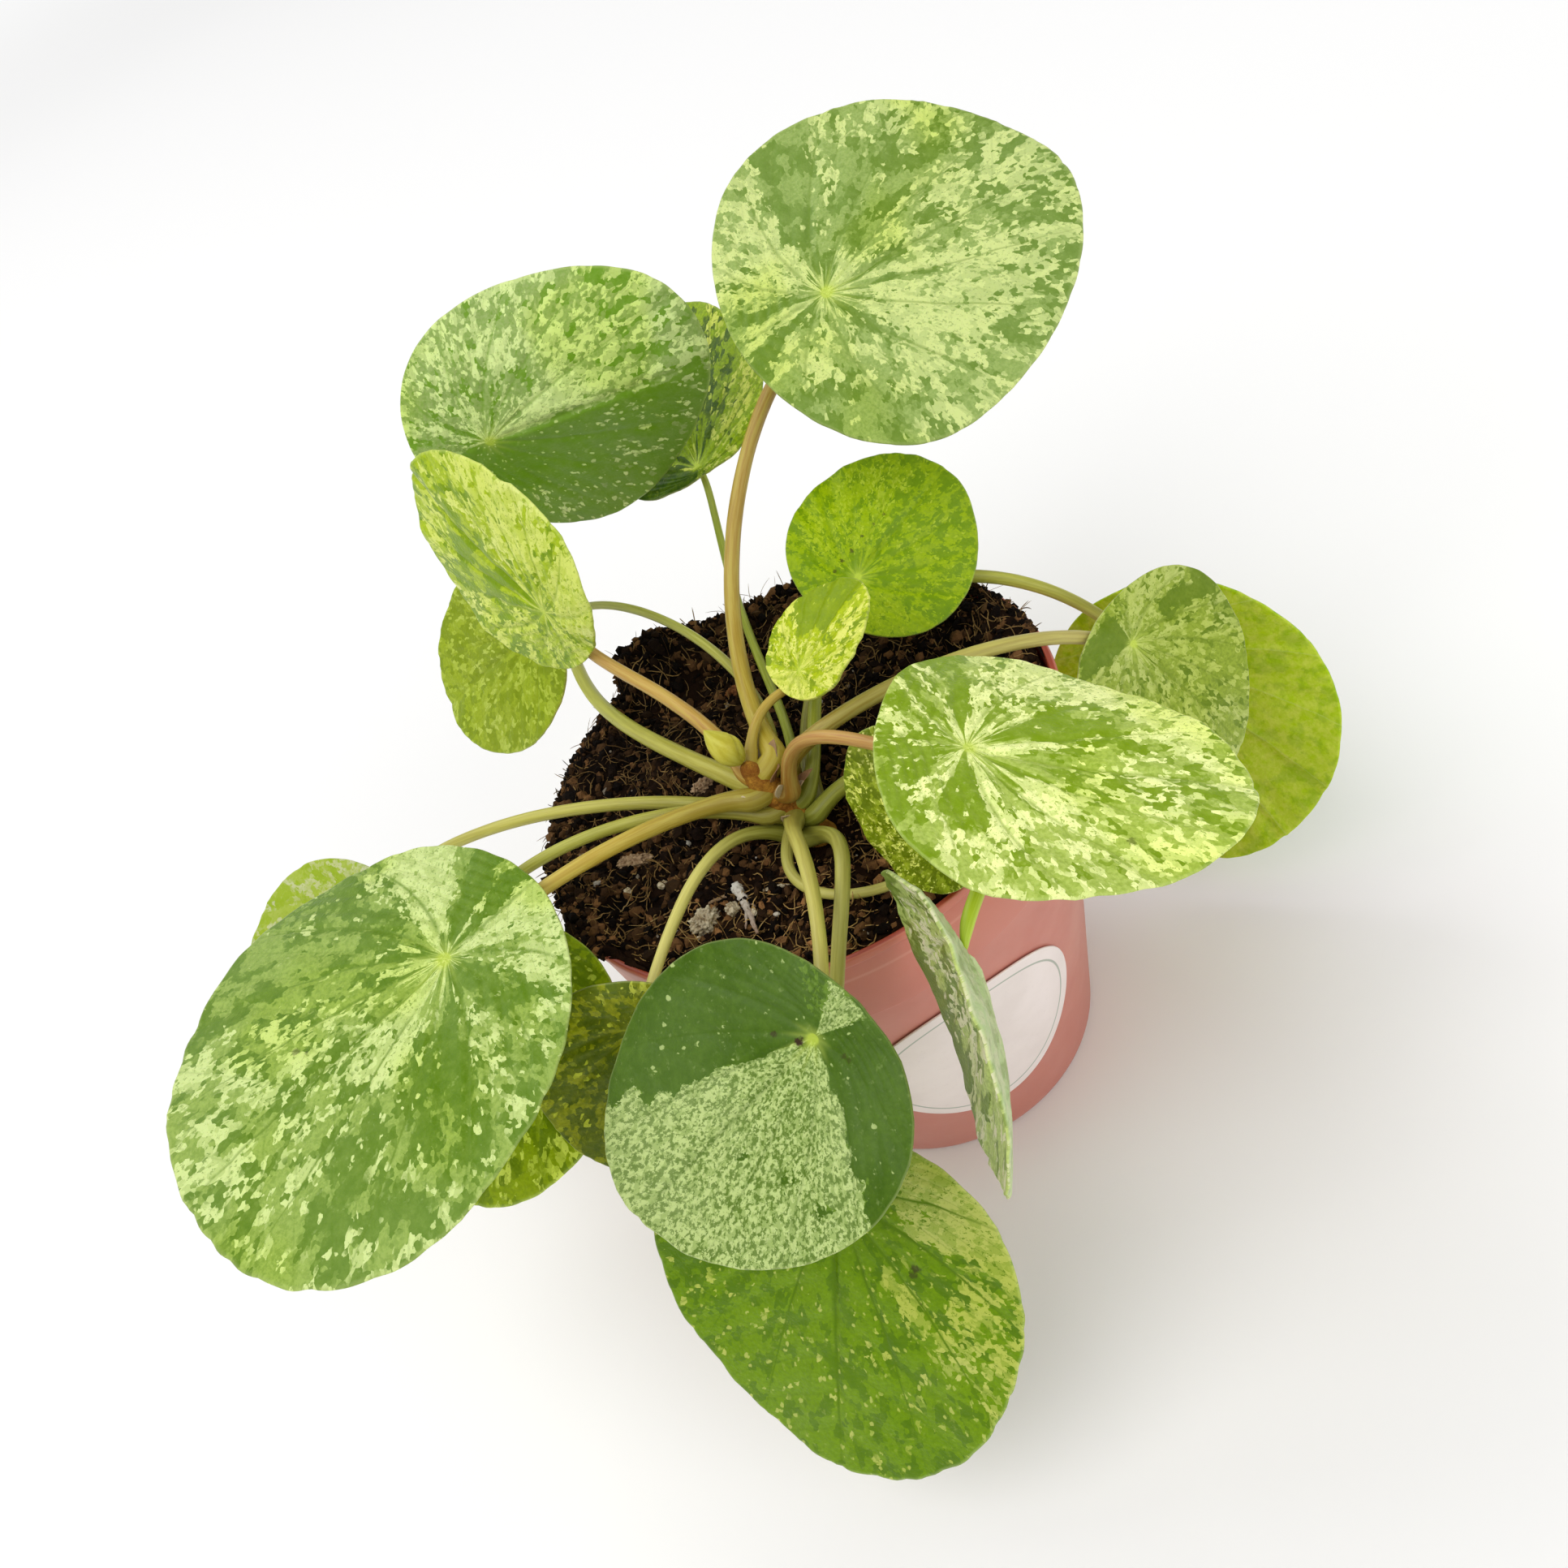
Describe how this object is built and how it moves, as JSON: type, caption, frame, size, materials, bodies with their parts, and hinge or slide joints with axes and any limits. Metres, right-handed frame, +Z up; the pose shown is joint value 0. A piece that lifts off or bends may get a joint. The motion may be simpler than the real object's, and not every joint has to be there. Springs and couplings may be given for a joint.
{
  "type": "potted plant",
  "caption": "Peltate-leaved houseplant with marbled round leaves on long arching stalks from a short stem, growing in a tapered nursery pot filled with potting mix.",
  "frame": {"origin": "centre of the pot's flat underside", "axes": "+Z up along the pot's axis, -Y towards the side that the picture shows, +X to the right of that side"},
  "size_m": [0.2589, 0.2512, 0.1944],
  "materials": {
    "pot_plastic": "satin, slightly translucent",
    "label_paper": "matt",
    "peat": "rough, crumbly",
    "stem_bark": "matt",
    "leaf_cream": "waxy, semi-gloss",
    "leaf_lime": "waxy, semi-gloss",
    "leaf_green": "waxy, semi-gloss",
    "stalk_green": "satin",
    "stalk_bronze": "satin"
  },
  "bodies": {
    "root": {"pot": "pot_plastic", "sticker": "label_paper", "potting_mix": "peat", "stem": "stem_bark", "bud": "stalk_green", "leaf_top": "leaf_cream", "leaf_back_left": "leaf_green", "leaf_left_upright": "leaf_lime", "leaf_left_low": "leaf_green", "leaf_back_middle": "leaf_lime", "leaf_round_back": "leaf_lime", "leaf_young": "leaf_lime", "leaf_right_front": "leaf_cream", "leaf_right_back": "leaf_green", "leaf_right_hanging": "leaf_lime", "leaf_right_under": "leaf_green", "leaf_front_hanging": "leaf_green", "leaf_front": "leaf_green", "leaf_bottom": "leaf_green", "leaf_left_large": "leaf_green", "leaf_left_behind": "leaf_lime", "leaf_front_left": "leaf_green", "leaf_left_under": "leaf_green", "stalk_top": "stalk_bronze", "stalk_back_left": "stalk_green", "stalk_left_upright": "stalk_bronze", "stalk_left_low": "stalk_green", "stalk_back_middle": "stalk_green", "stalk_round_back": "stalk_green", "stalk_young": "stalk_bronze", "stalk_right_front": "stalk_bronze", "stalk_right_back": "stalk_green", "stalk_right_hanging": "stalk_green", "stalk_right_under": "stalk_green", "stalk_front_hanging": "stalk_green", "stalk_front": "stalk_green", "stalk_bottom": "stalk_green", "stalk_left_large": "stalk_bronze", "stalk_left_behind": "stalk_green", "stalk_front_left": "stalk_green", "stalk_left_under": "stalk_green"}
  },
  "joints": []
}
